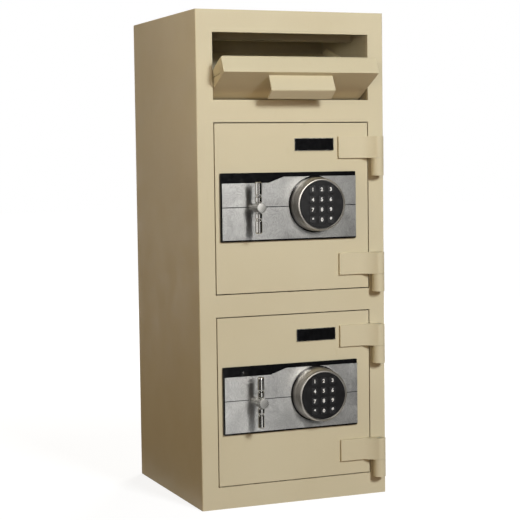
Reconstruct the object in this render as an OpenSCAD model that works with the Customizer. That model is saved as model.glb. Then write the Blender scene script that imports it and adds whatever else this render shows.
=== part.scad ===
// Deposit safe: a steel cabinet with two locked doors under a tilting deposit hopper.
// The origin is the middle of the cabinet's underside, +Z is up and the front faces -Y.
// It is drawn with both doors shut and unlocked, and with the hopper tilted open.

/* [Cabinet] */
// Width of the cabinet
body_w = 370; // [350:1:440]
// Depth of the cabinet, without what stands out of its front
body_d = 360; // [300:1:480]
// Thickness of the sides, top, back and floor
wall = 5; // [3:0.5:8]
// Thickness of the front frame
frame_t = 8; // [6:0.5:10]
// Width of the frame's two uprights
stile_w = 31.5; // [29:0.5:36]
// Height of the rail under the lower door
bottom_rail = 40; // [36:1:70]
// Height of the rail between the doors
middle_rail = 40; // [36:1:60]
// Height of the rail between the upper door and the deposit slot
slot_rail = 40; // [36:1:60]
// Height of the rail over the deposit slot
top_rail = 40; // [30:1:60]
// Height of each door opening
opening_h = 310; // [300:1:380]
// Height of the deposit slot
slot_h = 120; // [112:1:130]
// Rounding of the cabinet's upright edges
edge_r = 2.5; // [1:0.5:4]
// Thickness of the shelf between the compartments
shelf_t = 5; // [3:0.5:8]
// Diameter of the four anchor holes in the floor
anchor_d = 14; // [10:0.5:18]
// Distance between the anchor holes from side to side
anchor_x = 250; // [200:1:280]
// Distance between the anchor holes from front to back
anchor_y = 230; // [180:1:250]

/* [Doors] */
// Thickness of the door plates
door_t = 12; // [10:0.5:14]
// Gap between a door plate and the frame
door_gap = 2; // [1.5:0.25:3]
// Width of the fixed bar behind the hinge edge
dead_bar_w = 18; // [14:0.5:20]
// Thickness of that bar
dead_bar_t = 10; // [6:0.5:12]
// How far that bar reaches past the door's hinge edge
dead_bar_out = 6; // [4:0.5:7]

/* [Hinges] */
// Distance from the frame opening to the hinge line
hinge_in = 12.5; // [12:0.25:14]
// Distance from the front face to the hinge line
hinge_out = 12; // [11:0.25:13]
// Diameter of the hinge pins
hinge_pin_d = 10; // [8:0.5:12]
// Height of a door strap
strap_h = 40; // [30:1:50]
// Thickness of a door strap
strap_t = 5; // [4:0.5:6]
// How far a strap reaches in over the door
strap_reach = 61; // [50:0.5:70]
// Where a strap starts to rise to its knuckle, from the hinge line
strap_bend = 28; // [24:0.5:32]
// Height of the hinge post under a strap
post_h = 33; // [26:0.5:40]
// Width of the foot that holds a post to the frame
post_foot_w = 10; // [6:0.5:14]
// Height of the upper strap's middle over the door's middle
strap_up = 108; // [100:0.5:112]
// Depth of the lower strap's middle under the door's middle
strap_down = 107.5; // [100:0.5:108]

/* [Lock panel] */
// Width of the lock panel
fascia_w = 268; // [262:1:270]
// Height of the lock panel
fascia_h = 124; // [118:1:130]
// Distance from the door's free edge to the panel
fascia_in = 8; // [6:0.5:10]
// Height of the panel's middle over the door's middle
fascia_rise = 2; // [0:0.5:4]
// Thickness of the black backing
backing_t = 4; // [3:0.5:5]
// Thickness of the brushed face
face_t = 1.2; // [0.8:0.1:2]
// Height of the black band at the free edge
band_h = 18.5; // [14:0.5:20]
// Height of the black strip over the rest
strip_h = 8; // [5:0.5:10]
// Length of the band at its full height
band_run = 93.5; // [85:0.5:98]
// Length of the slope from band to strip
band_slope = 30; // [20:0.5:32]
// Width of the black margins at the free edge and below
margin_w = 3; // [2:0.5:4]
// Width of the groove across the face
groove_w = 1.4; // [0.8:0.1:2]
// Width of the bare badge
badge_w = 79; // [60:1:90]
// Height of the bare badge
badge_h = 23.5; // [18:0.5:26]
// Thickness of the bare badge
badge_t = 2; // [1:0.5:3]
// Gap between the badge and the hinge strap
badge_gap = 8.5; // [4:0.5:12]
// Height of the badge's middle over the door's middle
badge_rise = 114; // [100:0.5:118]

/* [Keypad] */
// Distance from the door's free edge to the keypad's middle
pad_in = 192; // [186:0.5:200]
// Height of the keypad's middle over the door's middle
pad_rise = 5; // [2:0.5:7]
// Diameter of the black seat under the keypad
pad_seat_d = 103; // [101:0.5:106]
// How far the seat stands out of the backing
pad_seat_t = 3; // [2:0.5:4]
// Diameter of the chrome housing at the seat
pad_d = 98.5; // [96:0.5:100]
// Diameter of the housing at its rim
pad_rim_d = 92.5; // [90:0.5:94]
// Diameter of the black keypad disc
disc_d = 86; // [84:0.5:87]
// Depth of the housing
pad_t = 31; // [26:0.5:36]
// How far the disc lies behind the rim
disc_sunk = 1; // [0.5:0.25:2]
// Width of a key
key_w = 12; // [10:0.5:13]
// Height of a key
key_h = 12.5; // [10:0.5:13]
// Distance between keys from side to side
key_step_x = 17.8; // [16:0.1:18]
// Distance between keys up and down
key_step_z = 18.3; // [17:0.1:18.5]
// How far a key stands out of the disc
key_proud = 0.8; // [0.4:0.1:1.2]
// How far a key can be pressed
key_travel = 1.2; // [0.8:0.1:1.5]

/* [Handle] */
// Distance from the door's free edge to the handle
handle_in = 66.5; // [64:0.5:70]
// Length of the handle bar
bar_l = 92; // [80:1:100]
// Diameter of the handle bar
bar_d = 12.4; // [11:0.2:14]
// Distance from the front face to the bar's axis
bar_out = 41; // [34:0.5:48]
// Diameter of the hub
hub_d = 17.5; // [16:0.5:20]
// How far the hub's nose stands out of the front face
hub_out = 56; // [52:0.5:60]
// Diameter of the spindle through the door
spindle_d = 13; // [10:0.5:14]

/* [Bolts] */
// Radius of the crank that moves the bolts
crank_r = 13; // [10:0.5:14]
// Diameter of the crank pin
crank_pin_d = 6; // [5:0.5:7]
// Diameter of the door bolts
bolt_d = 16; // [12:0.5:18]
// Distance between the door bolts
bolt_step = 85; // [70:1:95]
// Distance from the door's free edge to the tips of the drawn bolts
bolt_tip_in = 4.5; // [3.5:0.5:6]
// Thickness of the bolt bar
bolt_bar_t = 5; // [4:0.5:6]
// Distance from the door's rear face to the bolts' middle
bolt_behind = 12.5; // [12:0.5:14]
// Distance from the door's free edge to the bolt cover
cover_in = 9.5; // [8:0.5:11]
// Distance from the door's hinge edge to the bolt cover
cover_hinge_in = 20; // [16:0.5:26]
// Distance from the door's top and bottom to the bolt cover
cover_end_in = 13; // [10:0.5:20]
// Depth of the bolt cover
cover_depth = 40; // [38:0.5:48]
// Thickness of the bolt cover
cover_t = 1.5; // [1:0.25:3]
// Length of the lock case
lock_w = 85; // [80:0.5:88]
// Height of the lock case
lock_h = 61; // [56:0.5:66]
// Depth of the lock case
lock_t = 32; // [26:0.5:34]
// Travel of the lock's own bolt
lock_travel = 10; // [6:0.5:12]

/* [Hopper] */
// How far the hopper tilts open
open_angle = 62.5; // [56:0.5:66]
// Thickness of the hopper panel
panel_t = 31; // [28:0.5:31]
// Thickness of the panel's front plate
panel_plate_t = 8; // [4:0.5:10]
// Thickness of the panel's ends
panel_end_t = 3; // [2:0.5:4]
// Gap between the panel's ends and the frame
panel_gap_x = 2; // [1.5:0.25:3]
// Gap above and below the shut panel
panel_gap_z = 1.5; // [1:0.25:2.5]
// Distance from the front face to the pivots
pivot_in = 33; // [32:0.5:34]
// Height of the pivots over the sill
pivot_up = 40; // [38:0.5:42]
// Diameter of the pivots
pivot_d = 10; // [8:0.5:12]
// How far the tray reaches back from the panel
tray_run = 125; // [100:1:135]
// How far the shut tray drops over that length
tray_drop = 74.5; // [66:0.5:80]
// Thickness of the tray
tray_t = 1.5; // [1:0.25:2.5]
// Width of the pull
pull_w = 124.5; // [100:0.5:160]
// How far the pull stands out of the panel
pull_out = 26; // [22:0.5:30]
// Length of the pull's lip
pull_lip = 24; // [18:0.5:30]
// Thickness of the pull
pull_t = 3; // [2:0.25:4]
// Distance from the panel's top edge to the pull
pull_down = 11.5; // [8:0.5:16]
// Thickness of the chute plates
chute_t = 3; // [2:0.25:4]
// Distance from the front face to the baffle
baffle_in = 73; // [70:0.5:80]
// Height of the baffle under the cabinet's top
baffle_h = 44; // [30:0.5:46]

/* [Hidden] */
$fn = 64;
paint = "#CFC4A0";
brushed = "#B9BBBC";
chrome = "#D6D7D9";
black = "#1B1B1D";
zinc = "#A9A79F";
brass = "#B79B5B";
// Clearances: a shaft in its bore, a sliding piece in its guide, and two pieces that pass each other
run_fit = 0.05;
slide_fit = 0.3;
pass_gap = 3;

front = -body_d / 2;
open_w = body_w - 2 * stile_w;
lower_z0 = bottom_rail;
upper_z0 = lower_z0 + opening_h + middle_rail;
slot_z0 = upper_z0 + opening_h + slot_rail;
body_h = slot_z0 + slot_h + top_rail;
frame_back = front + frame_t;

door_w = open_w - 2 * door_gap;
door_h = opening_h - 2 * door_gap;
door_left = -door_w / 2;
door_right = door_w / 2;
door_back = front + door_t;
door_names = ["upper", "lower"];
door_z = [upper_z0 + opening_h / 2, lower_z0 + opening_h / 2];

hinge_x = open_w / 2 + hinge_in;
hinge_y = front - hinge_out;
knuckle_r = hinge_out - slide_fit;
post_floor = 4;
strap_left = door_right - strap_reach;
strap_bottoms = [strap_up - strap_h / 2, -strap_down - strap_h / 2];

fascia_left = door_left + fascia_in;
face_y = front - backing_t - face_t;
pad_x = door_left + pad_in;
pad_y = front - backing_t - pad_seat_t;
disc_h = pad_t - disc_sunk;
disc_t = 12;
key_t = 5;
key_corner_r = 2.5;
key_pocket = key_travel + key_t;
key_names = ["1", "2", "3", "4", "5", "6", "7", "8", "9", "star", "0", "hash"];
badge_x = strap_left - badge_gap - badge_w / 2;

handle_x = door_left + handle_in;
handle_z = fascia_rise;
bar_y = front - bar_out;
hub_back = bar_y + bar_d / 2 + 6;
hub_r = hub_d / 2;
stem_r = hub_r - 1.25;
neck_d = bar_d - 2.4;

// The crank turns a quarter turn, from 45 degrees on one side of straight down to 45 on the other
throw = 2 * crank_r * sin(45);
crank_t = 5;
crank_front = door_back + slide_fit;
crank_back = crank_front + crank_t;
crank_eye_r = spindle_d / 2 + 3;
crank_boss_r = crank_pin_d / 2 + 3;
crank_link_w = 2 * crank_boss_r - 2;
bolt_y = door_back + bolt_behind;
bolt_bar_y = bolt_y - bolt_bar_t / 2;
bolt_bar_back = bolt_bar_y + bolt_bar_t;
pin_x = handle_x + crank_r * sin(45);
pin_z = handle_z - crank_r * cos(45);
pin_low_z = handle_z - crank_r;
// A quarter turn moves the pin as a sine while the bar moves evenly, so the slot is wider than the pin
slot_side = crank_pin_d / 2 + 0.03 * crank_r + slide_fit / 3;
slot_edge = 6;
arm_right = pin_x + slot_side + slot_edge;
arm_low_z = pin_low_z - crank_pin_d / 2 - slide_fit - slot_edge;
cover_left = door_left + cover_in;
cover_right = door_right - cover_hinge_in;
cover_z = door_h / 2 - cover_end_in;
bolt_bar_left = cover_left + cover_t + throw + slide_fit;
bolt_bar_right = handle_x + 3;
bolt_bar_h = 2 * bolt_step + 40;
bolt_tip_x = door_left + bolt_tip_in;
bolt_lead = 1.5;
bolt_root_x = bolt_bar_left + 11;
stud_d = 8;
stud_head_d = stud_d + 5;
stud_head_t = 3;
stud_end = bolt_bar_back + stud_head_t;
stud_z = bolt_step / 2 + 12;
stud_x = bolt_bar_left + stud_d / 2 + slot_edge;
lock_left = handle_x + crank_r + crank_boss_r + 2;
lock_mid_z = pin_z - 2;
lock_bolt_w = 24;
lock_bolt_h = 12;
lock_bolt_t = 12;
lock_bolt_left = arm_right + 0.8;
lock_bore_w = lock_bolt_left + lock_bolt_w - lock_left + 7.5;

panel_w = open_w - 2 * panel_gap_x;
panel_z0 = slot_z0 + panel_gap_z;
panel_z1 = slot_z0 + slot_h - panel_gap_z;
pivot_y = front + pivot_in;
pivot_z = slot_z0 + pivot_up;
panel_back = front + panel_t;
tray_w = panel_w - 2 * panel_end_t;
tray_y1 = panel_back + tray_run;
tray_z1 = panel_z0 - tray_drop;
// The cheeks start low on the panel, so that they stay behind the frame when it is open
cheek_share = 0.58;
cheek_z = panel_z0 + cheek_share * (panel_z1 - panel_z0);
cheek_rear_h = 22;
corner_sweep = norm([pivot_in, pivot_up - panel_gap_z]) + 1.2;
tray_sweep = norm([tray_y1 - pivot_y, tray_z1 - pivot_z]);
chute_in = open_w / 2 + 0.5;
chute_back = pivot_y + tray_sweep + pass_gap;
chute_z0 = upper_z0 + opening_h + 12;
chute_top = body_h - wall;
apron_run = 50;
baffle_lip = 8;

// A flat outline, drawn as it is seen from the front, raised by t towards the viewer from y
module from_front(y, t) {
    translate([0, y, 0]) rotate([90, 0, 0]) linear_extrude(t) children();
}

// A rod or turned piece whose axis leaves the front at (x, z), starting at y
module facing_front(x, y, z) {
    translate([x, y, z]) rotate([90, 0, 0]) children();
}

// A flat outline in depth and height, raised along +X from x
module from_side(x, t) {
    translate([x, 0, 0]) rotate([90, 0, 90]) linear_extrude(t) children();
}

// A rectangle about the origin with round corners
module round_rect(w, h, r) {
    square([w - 2 * r, h], center = true);
    square([w, h - 2 * r], center = true);
    for (sx = [-1, 1], sy = [-1, 1])
        translate([sx * (w / 2 - r), sy * (h / 2 - r)]) circle(r);
}

// The cabinet's outline from above between two depths, with its two outer corners rounded
module plan_band(y0, y1, r, round_low) {
    d = y1 - y0;
    lift = round_low ? r : 0;
    translate([-body_w / 2, y0 + lift]) square([body_w, d - r]);
    translate([-body_w / 2 + r, y0]) square([body_w - 2 * r, d]);
    for (s = [-1, 1])
        translate([s * (body_w / 2 - r), round_low ? y0 + r : y1 - r]) circle(r);
}

// Places a door's pieces, drawn about the door's middle, at the upper or the lower door
module at_door(k) {
    translate([0, 0, door_z[k]]) children();
}

// Places the hopper's pieces, drawn shut, in the open position
module at_hopper() {
    translate([0, pivot_y, pivot_z]) rotate([open_angle, 0, 0])
        translate([0, -pivot_y, -pivot_z]) children();
}

module cabinet_shell() {
    color(paint) difference() {
        linear_extrude(body_h) plan_band(frame_back, body_d / 2, edge_r, false);
        translate([-body_w / 2 + wall, frame_back - 1, wall])
            cube([body_w - 2 * wall, body_d - frame_t - wall + 1, body_h - 2 * wall]);
        for (sx = [-1, 1], sy = [-1, 1])
            translate([sx * anchor_x / 2, sy * anchor_y / 2, -1]) cylinder(d = anchor_d, h = wall + 2);
    }
}

module front_frame() {
    openings = [[lower_z0, opening_h], [upper_z0, opening_h], [slot_z0, slot_h]];
    color(paint) difference() {
        linear_extrude(body_h) plan_band(front, frame_back, edge_r, true);
        for (o = openings)
            translate([-open_w / 2, front - 1, o[0]]) cube([open_w, frame_t + 2, o[1]]);
        // The lower edge of the tilting panel turns past the back of the sill
        translate([-open_w / 2, pivot_y, pivot_z]) rotate([0, 90, 0]) cylinder(r = corner_sweep, h = open_w);
    }
}

module compartment_shelf() {
    color(paint) translate([-body_w / 2 + wall, frame_back, upper_z0 - middle_rail / 2 - shelf_t / 2])
        cube([body_w - 2 * wall, body_d - frame_t - wall, shelf_t]);
}

module hinge_posts() {
    color(paint) for (z = door_z, b = strap_bottoms)
        translate([hinge_x, hinge_y, z + b - post_h]) difference() {
            union() {
                cylinder(r = knuckle_r, h = post_h - slide_fit);
                translate([-post_foot_w / 2, 0, 0])
                    cube([post_foot_w, hinge_out, post_h - slide_fit]);
            }
            translate([0, 0, post_floor]) cylinder(d = hinge_pin_d + 2 * run_fit, h = post_h);
        }
}

module hinge_pins() {
    color(zinc) for (z = door_z, b = strap_bottoms)
        translate([hinge_x, hinge_y, z + b - post_h + post_floor])
            cylinder(d = hinge_pin_d, h = post_h + strap_h - post_floor);
}

// The strap seen from above: flat on the door, then rising to touch the knuckle
module strap_plan() {
    reach = norm([strap_bend, hinge_out - strap_t]);
    turn = atan2(hinge_out - strap_t, -strap_bend) + acos(knuckle_r / reach);
    polygon([
        [strap_left, front],
        [strap_left, front - strap_t],
        [hinge_x - strap_bend, front - strap_t],
        [hinge_x + knuckle_r * cos(turn), hinge_y + knuckle_r * sin(turn)],
        [hinge_x, hinge_y],
        [hinge_x, front - slide_fit],
        [door_right, front - slide_fit],
        [door_right, front]
    ]);
    translate([hinge_x, hinge_y]) circle(knuckle_r);
}

module hinge_straps() {
    color(paint) for (b = strap_bottoms)
        translate([0, 0, b]) difference() {
            linear_extrude(strap_h) strap_plan();
            translate([hinge_x, hinge_y, -1]) cylinder(d = hinge_pin_d + 2 * run_fit, h = strap_h + 2);
        }
}

module door_plate() {
    color(paint) difference() {
        union() {
            translate([door_left, front, -door_h / 2]) cube([door_w, door_t, door_h]);
            translate([door_right + dead_bar_out - dead_bar_w, door_back, -cover_z])
                cube([dead_bar_w, dead_bar_t, 2 * cover_z]);
            for (s = [-1, 1])
                facing_front(stud_x, stud_end, s * stud_z) {
                    cylinder(d = stud_d, h = stud_end - door_back);
                    cylinder(d = stud_head_d, h = stud_head_t - slide_fit);
                }
        }
        facing_front(handle_x, door_back + 1, handle_z)
            cylinder(d = spindle_d + 2 * run_fit, h = door_t + 2);
    }
}

module bolt_cover() {
    cover_w = cover_right - cover_left;
    color(paint) difference() {
        translate([cover_left, door_back, -cover_z]) cube([cover_w, cover_depth, 2 * cover_z]);
        translate([cover_left + cover_t, door_back - 1, -cover_z + cover_t])
            cube([cover_w - 2 * cover_t, cover_depth - cover_t + 1, 2 * cover_z - 2 * cover_t]);
        for (i = [-1:1])
            translate([cover_left - 1, bolt_y, i * bolt_step]) rotate([0, 90, 0])
                cylinder(d = bolt_d + 2 * slide_fit, h = cover_t + 2);
    }
}

module lock_backing() {
    color(black) difference() {
        union() {
            from_front(front, backing_t)
                translate([fascia_left + fascia_w / 2, fascia_rise]) round_rect(fascia_w, fascia_h, 2);
            facing_front(pad_x, front, pad_rise) cylinder(d = pad_seat_d, h = backing_t + pad_seat_t);
        }
        facing_front(handle_x, front + 1, handle_z)
            cylinder(d = spindle_d + 2 * slide_fit, h = backing_t + 2);
    }
}

// The brushed face: its upper edge steps down in a slope to the band, and a groove splits it
module lock_face() {
    left = fascia_left + margin_w;
    right = fascia_left + fascia_w;
    low = fascia_rise - fascia_h / 2 + margin_w;
    top = fascia_rise + fascia_h / 2;
    color(brushed) difference() {
        from_front(front - backing_t, face_t) polygon([
            [left, low],
            [right, low],
            [right, top - strip_h],
            [fascia_left + band_run + band_slope, top - strip_h],
            [fascia_left + band_run, top - band_h],
            [left, top - band_h]
        ]);
        translate([left - 1, face_y - 1, fascia_rise - groove_w / 2])
            cube([right - left + 2, 1 + face_t / 2, groove_w]);
        facing_front(pad_x, front, pad_rise) cylinder(d = pad_seat_d + slide_fit, h = backing_t + face_t + 1);
        facing_front(handle_x, front, handle_z)
            cylinder(d = spindle_d + 2 * slide_fit, h = backing_t + face_t + 1);
    }
}

module badge() {
    color(black) from_front(front, badge_t)
        translate([badge_x, badge_rise]) round_rect(badge_w, badge_h, 1.5);
}

// The chrome housing: a turned cup whose side leans in, with a rounded rim
module keypad_housing() {
    round_r = 3;
    base_r = pad_d / 2;
    rim_r = pad_rim_d / 2;
    ledge = disc_h - disc_t;
    bore_r = disc_d / 2;
    color(chrome) facing_front(pad_x, pad_y, pad_rise) rotate_extrude() polygon(concat(
        [[bore_r - 3, 0], [base_r, 0], [base_r, 0.45 * pad_t], [rim_r + 1, pad_t - round_r]],
        [for (a = [15:15:90]) [rim_r + 1 - round_r + round_r * cos(a), pad_t - round_r + round_r * sin(a)]],
        [[bore_r, pad_t], [bore_r, ledge], [bore_r - 3, ledge]]
    ));
}

function key_x(i) = pad_x + (i % 3 - 1) * key_step_x;
function key_z(i) = pad_rise + (1.5 - floor(i / 3)) * key_step_z;

module keypad_disc() {
    color(black) difference() {
        facing_front(pad_x, pad_y - disc_h + disc_t, pad_rise)
            cylinder(d = disc_d - 2 * run_fit, h = disc_t);
        for (i = [0:11])
            from_front(pad_y - disc_h + key_pocket, key_pocket + 1)
                translate([key_x(i), key_z(i)])
                    round_rect(key_w + 2 * slide_fit, key_h + 2 * slide_fit, key_corner_r + slide_fit);
    }
}

module keypad_key(i) {
    color("#26262A") from_front(pad_y - disc_h + key_t, key_t + key_proud)
        translate([key_x(i), key_z(i)]) round_rect(key_w, key_h, key_corner_r);
}

// A block for the lock's bolt or its bore, from x, larger all round by grow
module lock_bolt_block(x, w, grow) {
    translate([x, bolt_y - lock_bolt_t / 2 - grow, lock_mid_z - lock_bolt_h / 2 - grow])
        cube([w, lock_bolt_t + 2 * grow, lock_bolt_h + 2 * grow]);
}

module lock_case() {
    color(zinc) difference() {
        from_front(door_back + lock_t, lock_t)
            translate([lock_left + lock_w / 2, lock_mid_z]) round_rect(lock_w, lock_h, 3);
        lock_bolt_block(lock_left - 1, lock_bore_w + 1, slide_fit);
    }
}

module lock_bolt() {
    color(brass) lock_bolt_block(lock_bolt_left, lock_bolt_w, 0);
}

// The bolt bar seen from the front: an upright plate with an arm to the crank, and its slots
module bolt_bar_plan() {
    slot_l = throw + stud_d + 2 * slide_fit;
    difference() {
        union() {
            translate([bolt_bar_left, -bolt_bar_h / 2]) square([bolt_bar_right - bolt_bar_left, bolt_bar_h]);
            translate([bolt_bar_left, arm_low_z]) square([arm_right - bolt_bar_left, handle_z - arm_low_z]);
        }
        for (s = [-1, 1])
            translate([stud_x - stud_d / 2 - slide_fit, s * stud_z - stud_d / 2 - slide_fit])
                square([slot_l, stud_d + 2 * slide_fit]);
        translate([pin_x - slot_side, pin_low_z - crank_pin_d / 2 - slide_fit])
            square([2 * slot_side, pin_z - pin_low_z + crank_pin_d + 2 * slide_fit]);
    }
}

module bolt_bar() {
    color(zinc) {
        from_front(bolt_bar_back, bolt_bar_t) bolt_bar_plan();
        for (i = [-1:1])
            translate([bolt_tip_x, bolt_y, i * bolt_step]) rotate([0, 90, 0]) {
                translate([0, 0, bolt_lead]) cylinder(d = bolt_d, h = bolt_root_x - bolt_tip_x - bolt_lead);
                cylinder(d1 = bolt_d - 2 * bolt_lead, d2 = bolt_d, h = bolt_lead);
            }
    }
}

// The turned cross bar: two waists, and a neck that passes through the hub
module handle_bar() {
    r = bar_d / 2;
    h = bar_l / 2;
    neck = hub_r + 0.8;
    waist = 0.46 * h;
    waist_r = r - 1.3;
    side = [
        [0, h],
        [r - 2, h],
        [r - 0.6, h - 0.6],
        [r, h - 2],
        [r, waist + 2.2],
        [waist_r, waist + 1.2],
        [waist_r, waist - 1.2],
        [r, waist - 2.2],
        [r, neck + 1.2],
        [neck_d / 2, neck]
    ];
    color(chrome) translate([handle_x, bar_y, handle_z]) rotate_extrude() polygon(concat(
        side,
        [for (i = [len(side) - 1:-1:0]) [side[i][0], -side[i][1]]]
    ));
}

// The crank seen from the front: an eye on the spindle and a boss at the pin, with a link between
module crank_plan() {
    translate([handle_x, handle_z]) {
        circle(crank_eye_r);
        rotate(-45) translate([0, -crank_link_w / 2]) square([crank_r, crank_link_w]);
    }
    translate([pin_x, pin_z]) circle(crank_boss_r);
}

// Hub, stem, spindle, crank and crank pin are one turned and welded piece
module handle_spindle() {
    stem_start = face_y - slide_fit;
    hub_start = stem_start - hub_back;
    nose = stem_start - (front - hub_out);
    pin_end = bolt_bar_back + 2;
    weld = 0.5;
    color(chrome) difference() {
        union() {
            facing_front(handle_x, stem_start, handle_z) rotate_extrude() polygon([
                [0, 0],
                [stem_r, 0],
                [stem_r, hub_start],
                [hub_r, hub_start + 2],
                [hub_r, nose - 5],
                [hub_r - 1.5, nose - 2],
                [hub_r - 4.5, nose],
                [0, nose]
            ]);
            facing_front(handle_x, crank_back + weld, handle_z)
                cylinder(d = spindle_d, h = crank_back - stem_start + 2 * weld);
            from_front(crank_back, crank_t) crank_plan();
            facing_front(pin_x, pin_end, pin_z) cylinder(d = crank_pin_d, h = pin_end - crank_back + weld);
        }
        translate([handle_x, bar_y, handle_z - hub_d]) cylinder(d = neck_d + 2 * run_fit, h = 2 * hub_d);
    }
}

// The panel, drawn shut: a pan whose ends run back as cheeks beside the tray
module hopper_panel() {
    half = panel_w / 2;
    color(paint) at_hopper() difference() {
        union() {
            translate([-half, front, panel_z0]) cube([panel_w, panel_plate_t, panel_z1 - panel_z0]);
            for (z = [panel_z0, panel_z1 - panel_end_t])
                translate([-half, front, z]) cube([panel_w, panel_t, panel_end_t]);
            for (x = [-half, half - panel_end_t])
                from_side(x, panel_end_t) polygon([
                    [front, panel_z0],
                    [panel_back, panel_z0],
                    [tray_y1, tray_z1],
                    [tray_y1, tray_z1 + cheek_rear_h],
                    [panel_back, cheek_z],
                    [panel_back, panel_z1],
                    [front, panel_z1]
                ]);
        }
        translate([-half - 1, pivot_y, pivot_z]) rotate([0, 90, 0])
            cylinder(d = pivot_d + 2 * run_fit, h = panel_w + 2);
    }
}

// The tray, drawn shut: one bent sheet that closes the panel's back and slopes down into the safe
module hopper_tray() {
    slope = atan2(tray_drop, tray_run);
    color(paint) at_hopper() from_side(-tray_w / 2, tray_w) polygon([
        [panel_back, panel_z1],
        [panel_back, panel_z0],
        [tray_y1, tray_z1],
        [tray_y1, tray_z1 + tray_t / cos(slope)],
        [panel_back + tray_t, panel_z0 + tray_t * (1 / cos(slope) - tan(slope))],
        [panel_back + tray_t, panel_z1]
    ]);
}

module hopper_pull() {
    top = panel_z1 - pull_down;
    color(paint) at_hopper() from_side(-pull_w / 2, pull_w) polygon([
        [front, top],
        [front - pull_out, top],
        [front - pull_out, top - pull_lip],
        [front - pull_out + pull_t, top - pull_lip],
        [front - pull_out + pull_t, top - pull_t],
        [front, top - pull_t]
    ]);
}

// The fixed chute: two side plates, a back, a baffle with a lip, and an apron under the panel
module deposit_chute() {
    baffle_y = front + baffle_in;
    color(paint) difference() {
        union() {
            for (x = [-chute_in - chute_t, chute_in])
                translate([x, frame_back, chute_z0])
                    cube([chute_t, chute_back + chute_t - frame_back, chute_top - chute_z0]);
            translate([-chute_in, chute_back, slot_z0 + slot_h / 2])
                cube([2 * chute_in, chute_t, chute_top - slot_z0 - slot_h / 2]);
            translate([-chute_in, baffle_y, chute_top - baffle_h])
                cube([2 * chute_in, chute_t, baffle_h]);
            translate([-chute_in, baffle_y - baffle_lip, chute_top - baffle_h])
                cube([2 * chute_in, baffle_lip, chute_t]);
            translate([-chute_in, frame_back, chute_z0])
                cube([2 * chute_in, apron_run, chute_t]);
        }
        translate([-body_w / 2, pivot_y, pivot_z]) rotate([0, 90, 0])
            cylinder(d = pivot_d + 2 * run_fit, h = body_w);
    }
}

// Headed pins, fixed in the chute's sides, on which the hopper turns
module hopper_pivots() {
    tip = panel_w / 2 - panel_end_t + slide_fit;
    head = chute_in + chute_t;
    head_t = 4;
    color(zinc) for (s = [-1, 1]) translate([0, pivot_y, pivot_z]) rotate([0, s * 90, 0]) {
        translate([0, 0, tip]) cylinder(d = pivot_d, h = head - tip + head_t);
        translate([0, 0, head]) cylinder(d = pivot_d + 6, h = head_t);
    }
}

cabinet_shell();
front_frame();
compartment_shelf();
hinge_posts();
hinge_pins();
deposit_chute();
hopper_pivots();
hopper_panel();
hopper_tray();
hopper_pull();
for (k = [0, 1]) {
    d = door_names[k];
    at_door(k) door_plate();
    at_door(k) hinge_straps();
    at_door(k) bolt_cover();
    at_door(k) lock_backing();
    at_door(k) lock_face();
    at_door(k) badge();
    at_door(k) keypad_housing();
    at_door(k) keypad_disc();
    at_door(k) lock_case();
    at_door(k) lock_bolt();
    at_door(k) bolt_bar();
    at_door(k) handle_bar();
    at_door(k) handle_spindle();
    for (i = [0:11])
        at_door(k) keypad_key(i);
}
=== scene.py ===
import math

import bmesh
import bpy
import numpy as np
from mathutils import Matrix, Vector


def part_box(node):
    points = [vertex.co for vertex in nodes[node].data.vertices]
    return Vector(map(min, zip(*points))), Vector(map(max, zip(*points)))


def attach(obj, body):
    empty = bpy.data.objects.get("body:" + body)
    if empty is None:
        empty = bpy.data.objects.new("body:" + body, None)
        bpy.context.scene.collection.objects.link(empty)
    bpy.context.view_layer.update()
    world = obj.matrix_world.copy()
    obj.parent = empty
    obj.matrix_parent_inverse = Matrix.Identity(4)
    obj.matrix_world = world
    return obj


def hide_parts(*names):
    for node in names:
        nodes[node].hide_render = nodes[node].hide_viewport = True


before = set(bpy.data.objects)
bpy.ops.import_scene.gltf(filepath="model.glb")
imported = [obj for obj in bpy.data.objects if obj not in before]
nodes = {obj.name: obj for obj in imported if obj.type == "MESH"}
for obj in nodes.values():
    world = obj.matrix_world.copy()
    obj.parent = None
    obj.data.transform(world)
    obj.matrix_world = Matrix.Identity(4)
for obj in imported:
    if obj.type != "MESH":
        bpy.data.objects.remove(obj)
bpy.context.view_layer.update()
print("frame loaded:", len(nodes), "nodes")

doorNames = ("upper", "lower")
keyNames = ("1", "2", "3", "4", "5", "6", "7", "8", "9", "star", "0", "hash")
mm = 0.001  # the frame is in metres

# the view was solved on the photo's edges, in its 520 pixel square frame
cameraView = {
    "place": (-1.0891, -2.6758, 0.6428),
    "azimuth": -22.273,
    "elevation": 4.071,
    "roll": -0.739,
    "focalPixels": 1490.4,
    "framePixels": 520,
    "sensor": 36.0,
    "clip": (0.05, 60),
}


def addCamera(c):
    # back points from the object to the camera, and roll turns right and up about it
    a, e, r = (math.radians(c[k]) for k in ("azimuth", "elevation", "roll"))
    back = Vector((math.sin(a) * math.cos(e), -math.cos(a) * math.cos(e), math.sin(e)))
    right = (-back).cross(Vector((0, 0, 1))).normalized()
    up = right.cross(-back)
    right, up = right * math.cos(r) + up * math.sin(r), up * math.cos(r) - right * math.sin(r)
    data = bpy.data.cameras.new("photoCamera")
    data.sensor_width = c["sensor"]
    data.lens = c["focalPixels"] * c["sensor"] / c["framePixels"]
    data.clip_start, data.clip_end = c["clip"]
    camera = bpy.data.objects.new("photoCamera", data)
    bpy.context.scene.collection.objects.link(camera)
    turned = Matrix((right, up, back)).transposed().to_4x4()
    camera.matrix_world = Matrix.Translation(c["place"]) @ turned
    bpy.context.scene.camera = camera


addCamera(cameraView)
bpy.context.scene.view_settings.view_transform = "Standard"
print("camera set")

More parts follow.
